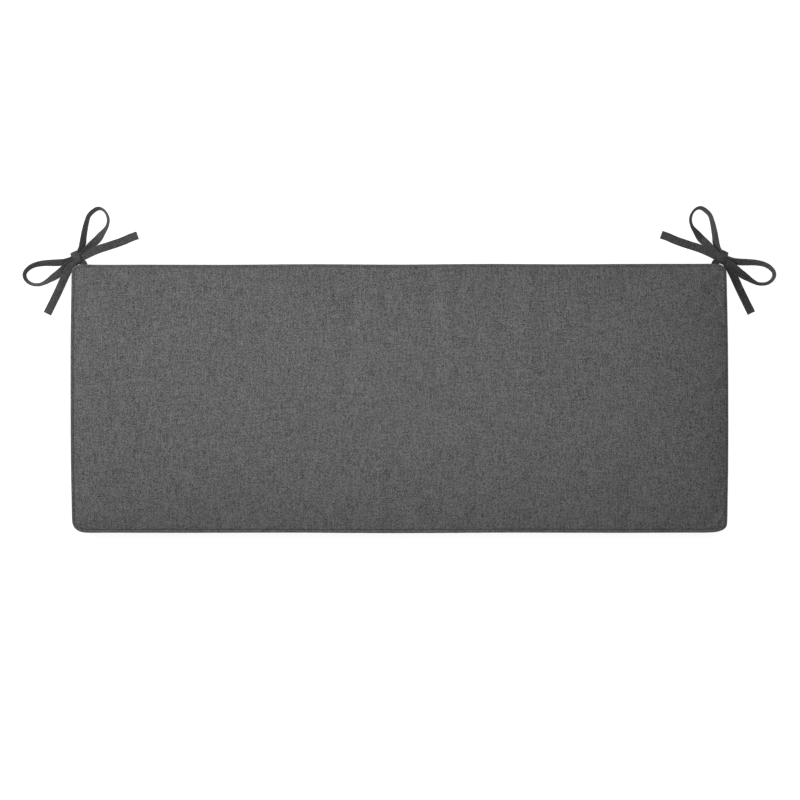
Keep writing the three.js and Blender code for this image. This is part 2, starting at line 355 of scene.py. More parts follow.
# %% [markdown]
# ## The weave
#
# The cloth is a plain weave of light and dark grey yarns, spun unevenly, so that thick and thin stretches
# show as streaks both ways. It could be an image, but a weave is only two sets of stripes that take turns on
# top, so it is built once from maths nodes, as a group, and every material uses it with its own values. Each
# bit of yarn is a small bump, and its colour also gets painted shade between the yarns and painted light on
# top. It works in metres of cloth, from the piece's UV map, so it follows each panel and runs on the bias
# round the piping.

# %% The weave as a node group
YARN_PITCH = 1.12 * MM
DRIFT, DRIFT_SCALE = 0.9 * MM, 38.0  # how far a yarn wanders over a few centimetres
SHAKE, SHAKE_SCALE = 0.4 * MM, 330.0  # and from one yarn to the next
FLECK, STRETCH, FIBRE, STREAK = 0.66, 0.14, 0.36, 0.3  # how strongly each changes a yarn's tone
# painted shade between the yarns and painted light on their tops, as factors on the colour
PAINTED_HOLLOW_SHADE, PAINTED_CROWN_LIGHT = 0.56, 1.14  # between the yarns and on top of them


def weave_group():
    """An empty group: cloth coordinates in metres go in, and colour, roughness and height come out."""
    tree = bpy.data.node_groups.new("melange weave", "ShaderNodeTree")
    for name, kind, start in (
        ("Cloth", "NodeSocketVector", None),
        ("Dark Yarn", "NodeSocketColor", (0.05, 0.05, 0.05, 1)),
        ("Light Yarn", "NodeSocketColor", (0.2, 0.2, 0.2, 1)),
        ("Pitch", "NodeSocketFloat", YARN_PITCH),
        ("Streaks", "NodeSocketFloat", 1.0),
    ):
        socket = tree.interface.new_socket(name, in_out="INPUT", socket_type=kind)
        if start is not None:
            socket.default_value = start
    for name, kind in (("Color", "Color"), ("Roughness", "Float"), ("Height", "Float")):
        tree.interface.new_socket(name, in_out="OUTPUT", socket_type="NodeSocket" + kind)
    return tree


def make_weave():
    """The weave's nodes: the yarns are counted, each gets its tone, and then its form, as height and as
    painted shade and light in its colour.
    """
    tree = weave_group()
    w = Wires(tree)
    given = w.node("NodeGroupInput").outputs
    where = w.node("ShaderNodeSeparateXYZ", {0: given["Cloth"]}).outputs
    turned = w.joined(where["Y"], where["X"], 3.0)

    def count(position, vector):
        """Counts yarns of which none lies quite straight: they drift slowly and shake a little."""
        drift = w.spread(w.speckle(vector, DRIFT_SCALE, 1.0), 0, 1, -DRIFT, DRIFT)
        shake = w.spread(w.speckle(vector, SHAKE_SCALE), 0, 1, -SHAKE, SHAKE)
        return w.maths("DIVIDE", w.maths("ADD", w.maths("ADD", position, drift), shake), given["Pitch"])

    warp, weft = count(where["X"], given["Cloth"]), count(where["Y"], turned)
    warp_yarn, weft_yarn = w.maths("FLOOR", warp), w.maths("FLOOR", weft)
    warp_up = w.maths("MODULO", w.maths("ABSOLUTE", w.maths("ADD", warp_yarn, weft_yarn)), 2.0)

    def yarn(number, along, seed):
        """A yarn's tone: its fibres are blended unevenly, both in short flecks and in long stretches."""
        own = w.maths("MULTIPLY", number, 7.31)
        fleck = w.speckle(w.joined(own, w.maths("MULTIPLY", along, 0.6), seed))
        stretch = w.speckle(w.joined(own, w.maths("MULTIPLY", along, 0.07), seed + 9))
        fleck = w.spread(fleck, 0.2, 0.8, -FLECK, FLECK)
        return w.maths("ADD", fleck, w.spread(stretch, 0.2, 0.8, -STRETCH, STRETCH))

    def fibres(across, along, seed):
        """Fine streaks along a yarn: the fibres in it lie side by side and each has its own grey."""
        place = w.joined(w.maths("MULTIPLY", across, 5.0), w.maths("MULTIPLY", along, 0.8), seed)
        return w.spread(w.speckle(place, 1.0, 1.0), 0.25, 0.75, -FIBRE, FIBRE)

    def choose(a, b):
        """a where the yarn along Y is on top, and b where the yarn along X is."""
        return w.spread(warp_up, 0, 1, b, a)

    # slubs: long thin streaks, a yarn or two wide, light where a yarn is thick and dark where it is thin
    across = w.speckle(w.joined(w.maths("MULTIPLY", warp, 0.035), w.maths("MULTIPLY", weft, 0.62), 21.0))
    upright = w.speckle(w.joined(w.maths("MULTIPLY", warp, 0.62), w.maths("MULTIPLY", weft, 0.04), 33.0))
    slub = w.maths("ADD", w.spread(across, 0.58, 0.8, 0, 0.45), w.spread(upright, 0.56, 0.8, 0, 0.6))
    shade = w.maths("ADD", w.spread(across, 0.44, 0.2, 0, 0.3), w.spread(upright, 0.44, 0.2, 0, 0.55))
    streak = w.maths("MULTIPLY", w.maths("SUBTRACT", slub, shade), given["Streaks"])
    cloud = w.spread(w.speckle(given["Cloth"], 9.0, 2.0), 0.3, 0.7, 0.48, 0.52)
    tone = w.maths("ADD", choose(yarn(warp_yarn, weft, 1.5), yarn(weft_yarn, warp, 8.5)), cloud)
    tone = w.maths("ADD", tone, w.maths("MULTIPLY", streak, STREAK))
    fibre = choose(fibres(warp, weft, 41.0), fibres(weft, warp, 57.0))
    tone = w.maths("ADD", tone, fibre)
    tone = w.maths("MINIMUM", w.maths("MAXIMUM", tone, 0.0), 1.0)

    def ridge(number):
        """0 between two yarns and 1 on the middle of one."""
        return w.maths("ABSOLUTE", w.maths("SINE", w.maths("MULTIPLY", number, math.pi)))

    def pillow_of(over, under):
        """A visible bit of yarn is a small pillow, longer along the yarn, that dives under the next one."""
        return w.maths("MULTIPLY", w.maths("POWER", over, 0.7), w.maths("POWER", under, 0.35))

    warp_ridge, weft_ridge = ridge(warp), ridge(weft)
    pillow = choose(pillow_of(warp_ridge, weft_ridge), pillow_of(weft_ridge, warp_ridge))
    # painted light and shade: the colour is darkened between the yarns and lightened on top of them
    painted_yarn_light = w.spread(pillow, 0, 1, PAINTED_HOLLOW_SHADE, PAINTED_CROWN_LIGHT)
    colour = w.blend(tone, given["Dark Yarn"], given["Light Yarn"])
    colour_with_painted_shade = w.node("ShaderNodeVectorMath", {0: colour, 1: w.joined(painted_yarn_light, painted_yarn_light, painted_yarn_light)}, operation="MULTIPLY")
    thick = w.maths("ADD", pillow, w.maths("MULTIPLY", slub, 0.6))
    height = w.maths("ADD", thick, w.maths("MULTIPLY", fibre, 0.5))
    rough = w.spread(tone, 0, 1, 0.96, 0.86)
    w.node("NodeGroupOutput", {"Color": colour_with_painted_shade.outputs[0], "Roughness": rough, "Height": height})
    return tree


weave = make_weave()
print("weave group:", len(weave.nodes), "nodes")

# %% [markdown]
# ## Three finishes of one cloth
#
# The cover, piping and ties look unlike, though they are one cloth: piping is cut on the bias, and the piping
# and the ties, a strip of four pressed layers, get darker greys than the cover, which is painted shade,
# slight on the round cord and stronger on the bows that lie low beside the cushion. Three copies of a
# material would drift apart with every change, so one function makes each from the weave group, with its own
# greys, turn and strength of streaks.

# %% Cloth materials
COVER_DARK, COVER_LIGHT = (0.04, 0.0385, 0.0397, 1), (0.227, 0.2215, 0.2255, 1)
# darker copies of the cover's greys: painted shade, slight for the piping and strong for the ties
PIPING_DARK_SHADED, PIPING_LIGHT_SHADED = (0.036, 0.0347, 0.0357, 1), (0.205, 0.2, 0.2035, 1)
TIE_DARK_SHADED, TIE_LIGHT_SHADED = (0.026, 0.0252, 0.026, 1), (0.134, 0.1308, 0.1332, 1)
YARN_RELIEF = 0.25 * MM
BIAS = math.radians(45)


def cloth_material(name, dark, light, turn=0.0, streaks=1.0, bump=0.35, sheen=0.25):
    """A cloth finish: the weave group in a rough shader with a soft sheen."""
    material, shader = principled(name, Sheen_Weight=sheen, Sheen_Roughness=0.5, Specular_IOR_Level=0.3)
    w = Wires(material.node_tree)
    place = w.node("ShaderNodeUVMap", uv_map="cloth").outputs["UV"]
    turned = w.node("ShaderNodeMapping", {"Vector": place, "Rotation": (0, 0, turn)}).outputs["Vector"]
    cloth = w.node("ShaderNodeGroup", node_tree=weave)
    w.feed(cloth, {"Cloth": turned, "Dark Yarn": dark, "Light Yarn": light})
    w.feed(cloth, {"Pitch": YARN_PITCH, "Streaks": streaks})
    relief = {"Height": cloth.outputs["Height"], "Strength": bump, "Distance": YARN_RELIEF}
    normal = w.node("ShaderNodeBump", relief).outputs["Normal"]
    colour, rough = cloth.outputs["Color"], cloth.outputs["Roughness"]
    w.feed(shader, {"Base Color": colour, "Roughness": rough, "Normal": normal})
    return material


cover_cloth = cloth_material("charcoal cover cloth", COVER_DARK, COVER_LIGHT)
# darker greys than the cover: painted shade on the cord and on the low-lying bows
shaded_piping_cloth = cloth_material("bias piping cloth with painted shade", PIPING_DARK_SHADED, PIPING_LIGHT_SHADED, turn=BIAS, streaks=0.5)
shaded_tie_cloth = cloth_material("tie cloth with painted shade", TIE_DARK_SHADED, TIE_LIGHT_SHADED, streaks=0.6)
print("cloth finishes:", ", ".join(material.name for material in (cover_cloth, shaded_piping_cloth, shaded_tie_cloth)))

# %% [markdown]
# ## Sewing thread
#
# The ties are topstitched with a grey thread, which is a tiny twisted cord. Its plies could be modelled, but
# would cost many faces that nobody sees, so ridges that slant along the thread are drawn by a wave pattern on
# its own UV map, and its tone changes a little along the way.

# %% Thread finish
THREAD_DARK, THREAD_LIGHT = (0.07, 0.069, 0.071, 1), (0.13, 0.128, 0.13, 1)
PLY_SLANT, PLY_SCALE, PLY_RELIEF = 0.6, 520.0, 0.08 * MM


def thread_material():
    """A twisted sewing thread: slanting ridges along it, slightly uneven in tone."""
    material, shader = principled("sewing thread", Sheen_Weight=0.15, Specular_IOR_Level=0.35)
    w = Wires(material.node_tree)
    place = w.node("ShaderNodeUVMap", uv_map="cloth").outputs["UV"]
    slanted = w.node("ShaderNodeMapping", {"Vector": place, "Rotation": (0, 0, PLY_SLANT)}).outputs["Vector"]
    twist = w.node("ShaderNodeTexWave", {"Vector": slanted, "Scale": PLY_SCALE}).outputs["Fac"]
    colour = w.blend(w.speckle(place, 180.0, 2.0), THREAD_DARK, THREAD_LIGHT)
    rough = w.spread(twist, 0, 1, 0.75, 0.6)
    relief = {"Height": twist, "Strength": 0.4, "Distance": PLY_RELIEF}
    normal = w.node("ShaderNodeBump", relief).outputs["Normal"]
    w.feed(shader, {"Base Color": colour, "Roughness": rough, "Normal": normal})
    return material


thread_finish = thread_material()
print("materials:", ", ".join(material.name for material in bpy.data.materials))

# %% [markdown]
# ## The cover
#
# A boxed cover is two panels and a strip between them. Each panel starts as a flat grid whose edge is
# fitted to the seam; then the grid's edge is extruded row by row: over the shoulder, into the hollow
# behind the piping, down the boxing, into the lower hollow and under. The lower panel closes it. The
# rows are the real section through the edge. It isn't the same all round: the panel closes on the piping at
# the rear, and is pulled a little over it at the right, so the shoulder has a pair of columns for each.

# %% The section through the edge
PANEL_COLUMNS, PANEL_ROWS = 132, 54
SHOULDER_RISE, SHOULDER_REACH = 2.9 * MM, 8 * MM
CROWN = 7 * MM
HALF_WIDTH, HALF_DEPTH = 550 * MM, 225 * MM
PANEL_INSET, UNDER_INSET = 9.2 * MM, 14 * MM
SHOULDER_DROP = 0.6 * MM  # from the top of the piping to where the shoulder starts
CROWN_POWER_X, CROWN_POWER_Y = 5, 2.6
FACING_FROM, FACING_TO = 0.3, 0.95  # of the outward direction, where the edge counts as rear or right
CORNER_LINES, CORNER_SHARE = 9, 0.4  # grid lines near a corner, and how narrow the first space is

# sections from the panel outward and down, as insets from the seam and heights in millimetres
SHOULDER = [  # open inset and height at the front and left, closed ones at the rear, over ones at the right
    (7.7, 49.25, 7.4, 49.5, 6.6, 49.9),
    (6.6, 48.9, 6.1, 49.25, 4.8, 49.8),
    (5.8, 48.3, 5.2, 48.9, 3.6, 49.4),
    (5.3, 47.4, 4.7, 48.2, 3.2, 48.95),
    (5.2, 46.2, 5.0, 47.0, 4.9, 47.6),
]
UPPER_HOLLOW = [(5.2, 45.0), (4.7, 44.0), (3.9, 43.3)]
BOXING = [(3.0, 42.2), (2.5, 38.5), (2.1, 32), (1.9, 25), (2.1, 18), (2.5, 11.6), (3.0, 8)]
LOWER_HOLLOW = [(3.9, 7.0), (4.7, 6.3), (5.2, 5.2), (5.2, 4.0)]
UNDER = [(5.5, 2.7), (6.3, 1.5), (8, 0.7), (10.5, 0.25)]

corners = {(x, y): seam.corner(x, y) for x in (-1, 1) for y in (-1, 1)}


def edge_length(u, v):
    """The length along the seam that belongs to a place on the grid's edge, u and v from 0 to 1."""
    front_left, rear_right = corners[-1, -1], corners[1, 1]
    front = (corners[1, -1] - front_left) % seam.length
    left = (front_left - corners[-1, 1]) % seam.length
    rear = (corners[-1, 1] - rear_right) % seam.length
    right = (rear_right - corners[1, -1]) % seam.length
    if v <= 0:
        return front_left + u * front
    if v >= 1:
        return rear_right + (1 - u) * rear
    return front_left - v * left if u <= 0 else rear_right - (1 - v) * right


def ease(value, low, high):
    """0 below low, 1 above high, and a smooth step between."""
    t = min(1, max(0, (value - low) / (high - low)))
    return t * t * (3 - 2 * t)


def shares(count):
    """The places of the grid's lines along a side, from 0 to 1: closer together towards the corners."""
    spaces = [ease(min(i, count - 1 - i), 0, CORNER_LINES) for i in range(count)]
    sizes = [CORNER_SHARE + (1 - CORNER_SHARE) * space for space in spaces]
    return [sum(sizes[:i]) / sum(sizes) for i in range(count + 1)]


def crown_height(x, y, inset):
    """The height of the upper panel before the filling pushes it out."""
    shoulder = SHOULDER_RISE * (1 - math.exp(-(inset - PIPING_RADIUS) / SHOULDER_REACH))
    across_x = 1 - min(1, abs(x) / HALF_WIDTH) ** CROWN_POWER_X
    across_y = 1 - min(1, abs(y) / HALF_DEPTH) ** CROWN_POWER_Y
    return UPPER_SEAM + PIPING_RADIUS - SHOULDER_DROP + shoulder + CROWN * across_x * across_y


def shoulder_place(row, along):
    """The inset and height in metres of a shoulder row at a length along the seam."""
    out = seam.at(along)[1]
    closed, over = ease(out.y, FACING_FROM, FACING_TO), ease(out.x, FACING_FROM, FACING_TO)
    opened = 1 - closed - over
    return tuple((opened * row[i] + closed * row[i + 2] + over * row[i + 4]) * MM for i in (0, 1))


print("height at the middle of the face in mm:", round(crown_height(0, 0, HALF_DEPTH) / MM, 1))

# %% [markdown]
# ## Panels and boxing in one mesh
#
# A maker cuts two flat panels and sews the boxing between them. They could stay three pieces here, but the
# cloth simulation needs a closed skin to fill, so the rows are extruded from one panel's edge and welded to
# the other. Every face gets its place on the flat cloth too, so that the weave runs straight on the panels
# and upright on the boxing.

# %% Panels and boxing
WELD = 0.05 * MM


def panel(mesh, inset, along_layer):
    """A grid whose edge lies a little inside the seam, with the rest spread evenly between its sides."""
    made = bmesh.ops.create_grid(mesh, x_segments=PANEL_COLUMNS, y_segments=PANEL_ROWS, size=1)["verts"]
    columns, rows = shares(PANEL_COLUMNS), shares(PANEL_ROWS)

    @functools.cache
    def edge(u, v):
        return seam.place(edge_length(u, v), inset, 0)

    for vert in made:
        u = columns[round((vert.co.x + 1) / 2 * PANEL_COLUMNS)]
        v = rows[round((vert.co.y + 1) / 2 * PANEL_ROWS)]
        vert[along_layer] = edge_length(u, v) if u in (0, 1) or v in (0, 1) else 0
        vert.co = (1 - v) * edge(u, 0) + v * edge(u, 1) + (1 - u) * edge(0, v) + u * edge(1, v)
        for i, j in ((0, 0), (0, 1), (1, 0), (1, 1)):
            vert.co -= (u if i else 1 - u) * (v if j else 1 - v) * edge(i, j)
    return made


def number_by_place(mesh, row_layer):
    """Sorts the mesh by row and place. An extrusion leaves it in a chance order, and the simulation adds up
    its forces in that order, so without this no two runs would give quite the same cover."""
    for number, vert in enumerate(sorted(mesh.verts, key=lambda vert: (vert[row_layer], *vert.co))):
        vert.index = number
    mesh.verts.sort()
    for parts in (mesh.edges, mesh.faces):
        for number, part in enumerate(sorted(parts, key=lambda part: sorted(v.index for v in part.verts))):
            part.index = number
        parts.sort()


def make_cover():
    """The whole cover as one closed mesh, with its cloth coordinates and, for each vertex, its row."""
    mesh = bmesh.new()
    along_layer = mesh.verts.layers.float.new("along")
    row_layer = mesh.verts.layers.int.new("row")
    for vert in panel(mesh, PANEL_INSET, along_layer):
        vert.co.z = crown_height(vert.co.x, vert.co.y, seam.inset(vert.co))
    edges = [e for e in mesh.edges if e.is_boundary]
    rows = [*SHOULDER, *UPPER_HOLLOW, *BOXING, *LOWER_HOLLOW, *UNDER, (UNDER_INSET / MM, 0)]
    for number, row in enumerate(rows, 1):
        made = bmesh.ops.extrude_edge_only(mesh, edges=edges)["geom"]
        edges = [g for g in made if isinstance(g, bmesh.types.BMEdge) and g.is_boundary]
        for vert in (g for g in made if isinstance(g, bmesh.types.BMVert)):
            along = vert[along_layer]
            inset, height = shoulder_place(row, along) if len(row) > 2 else (row[0] * MM, row[1] * MM)
            vert.co = seam.place(along, inset, height)
            vert[row_layer] = number
    under = panel(mesh, UNDER_INSET, along_layer)
    for vert in under:
        vert[row_layer] = len(rows)
    number_by_place(mesh, row_layer)
    bmesh.ops.remove_doubles(mesh, verts=mesh.verts, dist=WELD)
    bmesh.ops.recalc_face_normals(mesh, faces=mesh.faces)
    number_by_place(mesh, row_layer)
    first = len(SHOULDER) + len(UPPER_HOLLOW)
    cloth_map(mesh, row_layer, first, first + len(BOXING) + 2)
    print("cover:", len(mesh.faces), "faces, open edges:", sum(e.is_boundary for e in mesh.edges))
    return mesh, [vert[row_layer] for vert in mesh.verts]


def cloth_map(mesh, row_layer, first, last):
    """Cloth coordinates in metres: flat for the panels, and length by height for the boxing strip."""
    uv = mesh.loops.layers.uv.new("cloth")
    for face in mesh.faces:
        rows = [vert[row_layer] for vert in face.verts]
        boxing = first <= min(rows) and max(rows) <= last
        lengths = [seam.along(vert.co) for vert in face.verts] if boxing else []
        for i, loop in enumerate(face.loops):
            spot = loop.vert.co
            if boxing:
                wrap = seam.length if max(lengths) - lengths[i] > seam.length / 2 else 0
                loop[uv].uv = (lengths[i] + wrap, spot.z + 2)
            else:
                loop[uv].uv = (spot.x, spot.y + (5 if min(rows) >= last else 0))


cover_mesh, cover_rows = make_cover()

# %% [markdown]
# ## A mesh becomes a piece
#
# Every piece of the cushion enters the scene in the same way: it gets its finish and smooth shading, moves
# with the body that it belongs to, and hides the packed solid that it stands for. One function does it all,
# so that no piece can miss a step.

# %% A mesh becomes a piece
def finished(name, mesh, material, node):
    """Puts a bmesh in the scene as a piece that stands for a packed solid, or beside one."""
    data = bpy.data.meshes.new(name)
    mesh.to_mesh(data)
    mesh.free()
    data.materials.append(material)
    for polygon in data.polygons:
        polygon.use_smooth = True
    piece = bpy.data.objects.new(name, data)
    bpy.context.scene.collection.objects.link(piece)
    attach(piece, "root")
    if node:
        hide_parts(node)
    return piece


cover = finished("cover", cover_mesh, cover_cloth, "cushion")
print(cover.name, "stands for the filled solid, with vertices:", len(cover.data.vertices))

# %% [markdown]
# ## The filling pushes the cloth out
#
# A foam pad is cut a little larger than its cover, so the cloth swells between its seams. That could be a
# formula, and the crown above is one, but the small pulls near the seams come from the cloth itself. So a
# short cloth simulation is run with the seams and the underside held still and a little pressure inside, on
# cloth that is very slightly too large for its seams. Its result is kept as plain vertex places, each move
# limited, and the simulation is thrown away.

# %% Cloth simulation
CLOTH_FRAMES = 20
PRESSURE = 4.0
LOOSENESS = 0.006  # how much longer the cloth is than the space between its seams
STEP_QUALITY = 6
PANEL_REACH, BOXING_REACH = 10 * MM, 1.2 * MM  # that a move comes near, but doesn't pass
FREE_ROWS = 2  # of the cover, from the panel outward


def settle(piece, held, reach):
    """Runs the simulation on a piece. held has each vertex's share of hold, and reach its longest move."""
    group = piece.vertex_groups.new(name="held")
    for i, share in enumerate(held):
        group.add([i], share, "REPLACE")
    cloth = piece.modifiers.new("cloth", "CLOTH")
    cloth.settings.vertex_group_mass = group.name
    cloth.settings.use_pressure = True
    cloth.settings.uniform_pressure_force = PRESSURE
    cloth.settings.shrink_min = -LOOSENESS
    cloth.settings.quality = STEP_QUALITY
    cloth.settings.effector_weights.gravity = 0
    cloth.collision_settings.use_collision = False
    scene = bpy.context.scene
    for number in range(1, CLOTH_FRAMES + 1):
        scene.frame_set(number)
    shaped = piece.evaluated_get(bpy.context.evaluated_depsgraph_get()).data
    places = [vert.co.copy() for vert in shaped.vertices]
    piece.modifiers.remove(cloth)
    piece.vertex_groups.remove(group)
    scene.frame_set(1)
    furthest = 0
    for vert, place, most in zip(piece.data.vertices, places, reach):
        move = place - vert.co
        furthest = max(furthest, move.length)
        vert.co += move * (most / (most + move.length))
    print("furthest move of the cloth in mm:", round(furthest / MM, 1))


def hold_of(row):
    """The share of hold of a row of the cover: the seams and the underside are fast, the rest is free."""
    above = len(SHOULDER) + len(UPPER_HOLLOW)
    boxing = range(above + 2, above + len(BOXING))
    return 0 if row < FREE_ROWS or row in boxing else 1


reach = [PANEL_REACH if row < FREE_ROWS else BOXING_REACH for row in cover_rows]
settle(cover, [hold_of(row) for row in cover_rows], reach)

# %% [markdown]
# ## Folds
#
# The face in the photo isn't even: a few soft folds run from the rear seam to the front, and one crosses the
# rear right corner. A simulation makes folds, but not these ones at these places, so they are listed one by
# one: each is a soft trough or ridge along a line, with its own depth and width. A step is a fold whose two
# sides lie at different heights.

# %% Soft folds
FOLDS = [  # x, y, to x, to y, rise, step, width, all in millimetres
    (-69, 228, -88, -5, -3.4, 0.7, 12),
    (-21, 228, -22, 140, -2.1, 0, 9),
    (44, 228, 50, 120, -1.8, 0.5, 13),
    (66, 226, 74, -8, 0.3, 1.3, 7),
    (180, 226, 184, 100, -1.3, 1, 13),
    (214, 222, 216, 30, 2.1, 0, 14),
    (300, 205, 306, 60, 1, 0, 12),
    (382, 90, 380, -20, 1.2, 0, 11),
    (361, -100, 364, -222, 1.2, 0, 9),
    (402, -120, 410, -222, -0.9, 0.5, 12),
    (536, 212, 462, 158, 2.9, 0, 10),
    (548, 190, 500, 120, -1.7, 0, 13),
    (-26, -70, -32, -222, 1.4, 0, 8),
    (32, -110, 28, -222, 1.4, 0, 8),
    (103, -60, 107, -222, 1.7, 0, 14),
    (-78, -140, -82, -222, -1.4, 0, 10),
    (-424, 26, -404, -24, 1.4, 0, 8),
    (-406, -24, -409, -112, 1.2, 0, 8),
    (-348, -20, -351, -205, 0.9, 0, 9),
    (-519, 190, -516, 156, -2, 0, 14),
    (-250, 222, -246, 80, 0.9, 0.3, 12),
]
FOLD_FADE = 26  # from each end of a fold
FOLD_SIDE = 6  # widths from its line, where a fold has died away
FOLD_WANDER, FOLD_WAVE = 0.35, 40  # how far a fold leaves its line, in widths, and how often


def fold_height(spot):
    """How far the folds lift a spot, in millimetres."""
    total = 0
    for x, y, to_x, to_y, rise, step, width in FOLDS:
        run = Vector((to_x - x, to_y - y))
        length = run.length
        run /= length
        far = spot - Vector((x, y))
        along, aside = far.dot(run), (far.x * run.y - far.y * run.x) / width
        if -FOLD_FADE < along < length + FOLD_FADE and abs(aside) < FOLD_SIDE:
            aside += FOLD_WANDER * noise.noise((along / FOLD_WAVE, x, y))
            begun = ease(along, -FOLD_FADE, FOLD_FADE)
            ended = ease(along, length - FOLD_FADE, length + FOLD_FADE)
            form = rise * math.exp(-aside * aside) - step * aside * math.exp(-aside * aside / 6)
            total += begun * (1 - ended) * form
    return total


print("folds:", len(FOLDS), "with the deepest at", min(fold[4] for fold in FOLDS), "mm")

# %% [markdown]
# ## From a coarse cover to a sewn one
#
# The simulation ran on a coarse mesh, which is quick, but small forms need a finer one. So the cover is
# subdivided once, which also rounds its shoulder, and then its vertices are moved. Stitches pull the cloth in
# unevenly, in puckers a few millimetres apart that fade away from the seam, and the slack boxing has slow
# waves. A displacement texture could do that, but wouldn't know where the seam runs.

# %% Smooth, fold and pucker the cover
PUCKER_DEPTH = 0.7
PUCKER_PITCH, PUCKER_REACH, BOXING_PUCKER_REACH = 9, 11, 7
FACE_FROM = 48.6  # the height above which a spot is on the face
BOXING_LOW, BOXING_HIGH = 8, 42
STITCHED, LOOSE_FOR_PUCKERS, LOOSE_FOR_FOLDS = 4.5, 8, 16  # insets at which the cloth is held, and is free
WAVE_DEPTH, WAVE_LENGTH, WAVE_HEIGHT = 1.3, 30, 34
DEEPEST, FURTHEST_OUT = -1.8, 1.1  # limits to what the boxing's puckers and waves do together


def pucker(along, offset):
    """The uneven pull of the stitches at a length along the seam, in millimetres."""
    fine = noise.noise((along / MM / PUCKER_PITCH, offset, 0))
    wide = noise.noise((along / MM / PUCKER_PITCH / 3, offset, 5))
    return PUCKER_DEPTH * (fine + 0.8 * wide)


def smoothed(piece):
    """Replaces a piece's mesh with its own once-subdivided form."""
    modifier = piece.modifiers.new("round", "SUBSURF")
    modifier.levels = modifier.render_levels = 1
    depsgraph = bpy.context.evaluated_depsgraph_get()
    mesh = bpy.data.meshes.new_from_object(piece.evaluated_get(depsgraph), depsgraph=depsgraph)
    piece.modifiers.remove(modifier)
    piece.data = mesh


def face_lift(spot):
    """How far folds and puckers lift a spot of the face, in millimetres."""
    inset = seam.inset(spot)
    lift = ease(inset, STITCHED * MM, LOOSE_FOR_FOLDS * MM) * fold_height(spot.xy / MM)
    near = math.exp(-(inset / MM - 5) / PUCKER_REACH) * ease(inset, STITCHED * MM, LOOSE_FOR_PUCKERS * MM)
    return lift + near * pucker(seam.along(spot), 1.7) if near > 0.02 else lift


def boxing_push(spot, along):
    """How far puckers and slow waves push a spot of the boxing out, in millimetres."""
    upper = math.exp(-(BOXING_HIGH - spot.z / MM) / BOXING_PUCKER_REACH)
    lower = math.exp(-(spot.z / MM - BOXING_LOW) / BOXING_PUCKER_REACH)
    pulled = upper * pucker(along, 6.1) + lower * pucker(along, 9.4)
    wave = noise.noise((along / (WAVE_LENGTH * MM), spot.z / (WAVE_HEIGHT * MM), 2.3))
    return min(FURTHEST_OUT, max(DEEPEST, 1.4 * pulled + WAVE_DEPTH * wave))


smoothed(cover)
for vert in cover.data.vertices:
    spot = vert.co
    if spot.z > FACE_FROM * MM:
        spot.z += face_lift(spot) * MM
    elif BOXING_LOW * MM < spot.z < BOXING_HIGH * MM:
        along = seam.along(spot)
        spot.xy += seam.at(along)[1] * boxing_push(spot, along) * MM
print("cover faces:", len(cover.data.polygons))

# %% [markdown]
# ## The piping
#
# Piping is a cord wrapped in cloth that is cut on the bias, so that it bends round corners; the two edges of
# the cloth run inward as a flat allowance and are sewn into the seam. Its section is therefore a circle with
# a thin tail. A bevelled curve would be quicker, but has no allowance and no unevenness where the stitches
# pull it in. So a grid is laid over rings of points along the seam and welded into a tube, and the same
# function is used for the ties.

# %% Carry a section along a line
def sweep(mesh, sections, lengths, girth, closed=False):
    """Lays a grid over sections, which are rings of points in the same order, and welds it into a tube.
    lengths holds how far along the cloth each section lies, and girth how far round each of its points."""
    uv = mesh.loops.layers.uv.get("cloth") or mesh.loops.layers.uv.new("cloth")
    columns, steps = len(sections[0]), len(sections) - (0 if closed else 1)
    made = bmesh.ops.create_grid(mesh, x_segments=columns, y_segments=steps, size=1)["verts"]
    spots = {v: (round((v.co.x + 1) / 2 * columns), round((v.co.y + 1) / 2 * steps)) for v in made}
    for vert, (i, k) in spots.items():
        vert.co = sections[k % len(sections)][i % columns]
        for loop in vert.link_loops:
            loop[uv].uv = (lengths[k], girth[i])
    bmesh.ops.remove_doubles(mesh, verts=made, dist=SAME_PLACE)
    faces = {face for vert in made if vert.is_valid for face in vert.link_faces}
    open_edges = [edge for edge in {e for face in faces for e in face.edges} if edge.is_boundary]
    faces.update(bmesh.ops.holes_fill(mesh, edges=open_edges, sides=0)["faces"])
    bmesh.ops.recalc_face_normals(mesh, faces=list(faces))


trial = bmesh.new()
square = ((0, 0), (1, 0), (1, 1), (0, 1))
sweep(trial, [[Vector((x, y, z)) for x, y in square] for z in range(3)], lengths=range(3), girth=range(5))
print("a square tube with two stretches and both ends closed has", len(trial.faces), "faces")
trial.free()

# %% [markdown]
# ## A piping for each face
#
# Both faces are corded alike, so one function makes each piping at its own height. A cord in a sewn seam is
# never even: its radius and its height wander a little, by smooth noise that runs along the seam. Random
# numbers for each ring would look like grains of sand instead. The swelling is limited, so that the piping
# keeps to its packed size.

# %% Both pipings
TUBE_SIDES, TUBE_STEP = 14, 3 * MM
ALLOWANCE_INSET, ALLOWANCE_HALF = 7.4 * MM, 0.4 * MM
SHORT_SWELL, LONG_SWELL, MOST_SWELL = 0.05, 0.03, 1.04
SHORT_WAVE, LONG_WAVE = 9 * MM, 60 * MM
WANDER = 0.25 * MM


